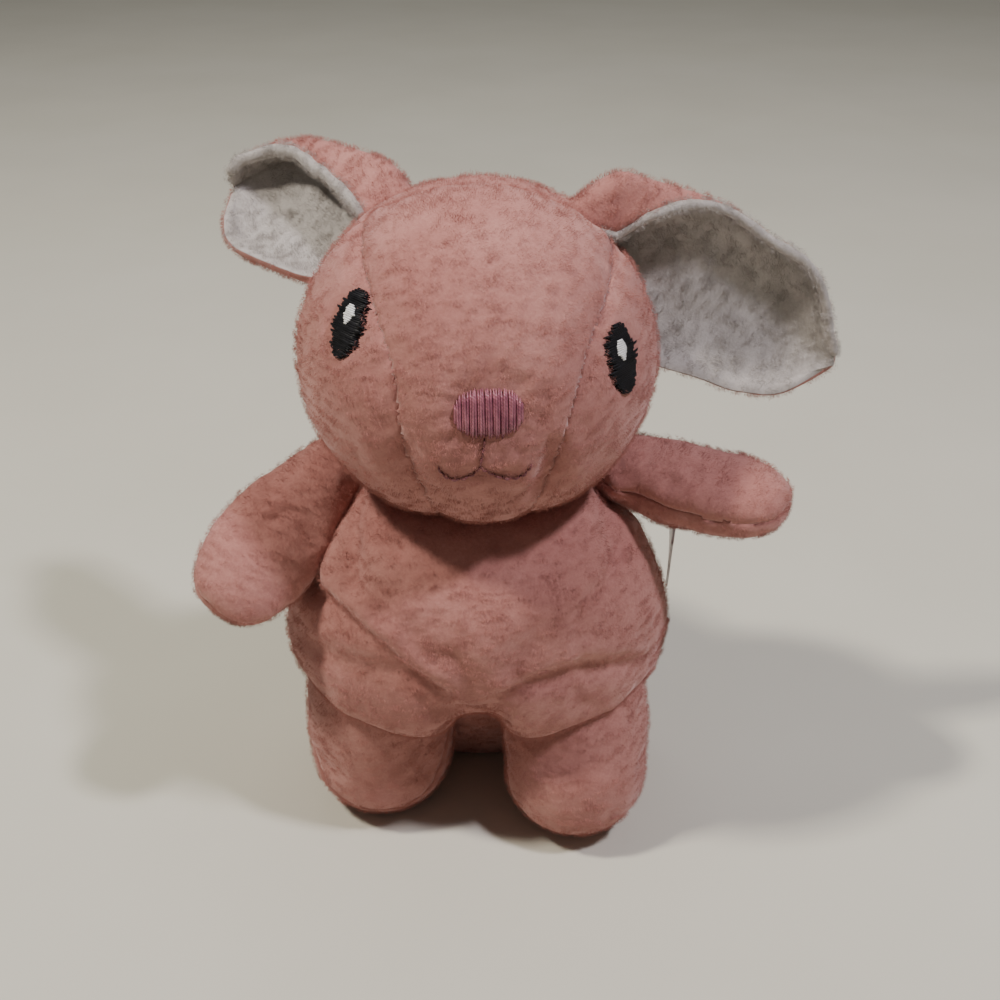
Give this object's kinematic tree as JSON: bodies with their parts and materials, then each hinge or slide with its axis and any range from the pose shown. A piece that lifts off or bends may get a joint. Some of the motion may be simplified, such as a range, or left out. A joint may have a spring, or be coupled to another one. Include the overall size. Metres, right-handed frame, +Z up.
{
  "type": "stuffed toy rabbit",
  "caption": "Small sewn plush rabbit with a round head, curled lined ears, paddle arms and stub legs, filled with fibre and weighted at the seat to stand.",
  "frame": {"origin": "the middle of the flat seat, on the resting plane", "axes": "+Z up, -Y out of the face, +X to the toy's own left"},
  "size_m": [0.1247, 0.0777, 0.1343],
  "materials": {
    "pink_plush": "short pile",
    "cream_plush": "short pile",
    "polyester_fibre": "loose fibre",
    "plastic_pellets": "matte",
    "black_thread": "satin thread",
    "white_thread": "satin thread",
    "rose_thread": "satin thread",
    "brown_thread": "thread",
    "white_satin": "satin"
  },
  "bodies": {
    "torso": {"body_front_panel": "pink_plush", "body_back_panel": "pink_plush", "body_stuffing": "polyester_fibre", "pellet_pouch": "plastic_pellets", "tail": "cream_plush", "care_label": "white_satin"},
    "neck": {"neck_stuffing": "polyester_fibre"},
    "head": {"head_front_gusset": "pink_plush", "head_side_left": "pink_plush", "head_side_right": "pink_plush", "head_back_panel": "pink_plush", "head_stuffing": "polyester_fibre", "eye_left": "black_thread", "eye_left_glint": "white_thread", "eye_right": "black_thread", "eye_right_glint": "white_thread", "nose_embroidery": "rose_thread", "mouth_stroke_centre": "brown_thread", "mouth_stroke_left": "brown_thread", "mouth_stroke_right": "brown_thread"},
    "ear_left": {"ear_left_back": "pink_plush", "ear_left_lining": "cream_plush"},
    "ear_right": {"ear_right_back": "pink_plush", "ear_right_lining": "cream_plush"},
    "arm_left": {"arm_left_upper_panel": "pink_plush", "arm_left_lower_panel": "pink_plush", "arm_left_stuffing": "polyester_fibre"},
    "arm_right": {"arm_right_upper_panel": "pink_plush", "arm_right_lower_panel": "pink_plush", "arm_right_stuffing": "polyester_fibre"},
    "leg_left": {"leg_left_front_panel": "pink_plush", "leg_left_back_panel": "pink_plush", "leg_left_stuffing": "polyester_fibre"},
    "leg_right": {"leg_right_front_panel": "pink_plush", "leg_right_back_panel": "pink_plush", "leg_right_stuffing": "polyester_fibre"}
  },
  "joints": [
    {"name": "head_turn", "type": "hinge", "parent": "torso", "child": "neck", "pos_m": [0.0007, -0.015, 0.084], "axis": [0, 0, 1], "range_deg": [-35, 35], "stiffness_Nm_per_rad": 0.02},
    {"name": "head_nod", "type": "hinge", "parent": "neck", "child": "head", "pos_m": [0.0007, -0.015, 0.084], "axis": [1, 0, 0], "range_deg": [-10, 10], "stiffness_Nm_per_rad": 0.05},
    {"name": "ear_left_flop", "type": "hinge", "parent": "head", "child": "ear_left", "pos_m": [0.03066, -0.0104, 0.11617], "axis": [-0.4105, -0.2181, -0.8854], "range_deg": [-30, 20], "stiffness_Nm_per_rad": 0.002},
    {"name": "ear_right_flop", "type": "hinge", "parent": "head", "child": "ear_right", "pos_m": [-0.02392, -0.0033, 0.12], "axis": [0.4761, 0.7324, 0.4868], "range_deg": [-20, 20], "stiffness_Nm_per_rad": 0.002},
    {"name": "arm_left_swing", "type": "hinge", "parent": "torso", "child": "arm_left", "pos_m": [0.0275, -0.009, 0.075], "axis": [0, 0, -1], "range_deg": [-45, 30], "stiffness_Nm_per_rad": 0.004},
    {"name": "arm_right_swing", "type": "hinge", "parent": "torso", "child": "arm_right", "pos_m": [-0.0275, -0.009, 0.075], "axis": [0, 0, 1], "range_deg": [-70, 10], "stiffness_Nm_per_rad": 0.004},
    {"name": "leg_left_swing", "type": "hinge", "parent": "torso", "child": "leg_left", "pos_m": [0.0203, -0.017, 0.026], "axis": [-1, 0, 0], "range_deg": [-8, 35], "stiffness_Nm_per_rad": 0.02},
    {"name": "leg_right_swing", "type": "hinge", "parent": "torso", "child": "leg_right", "pos_m": [-0.0203, -0.017, 0.026], "axis": [-1, 0, 0], "range_deg": [-8, 35], "stiffness_Nm_per_rad": 0.02}
  ]
}
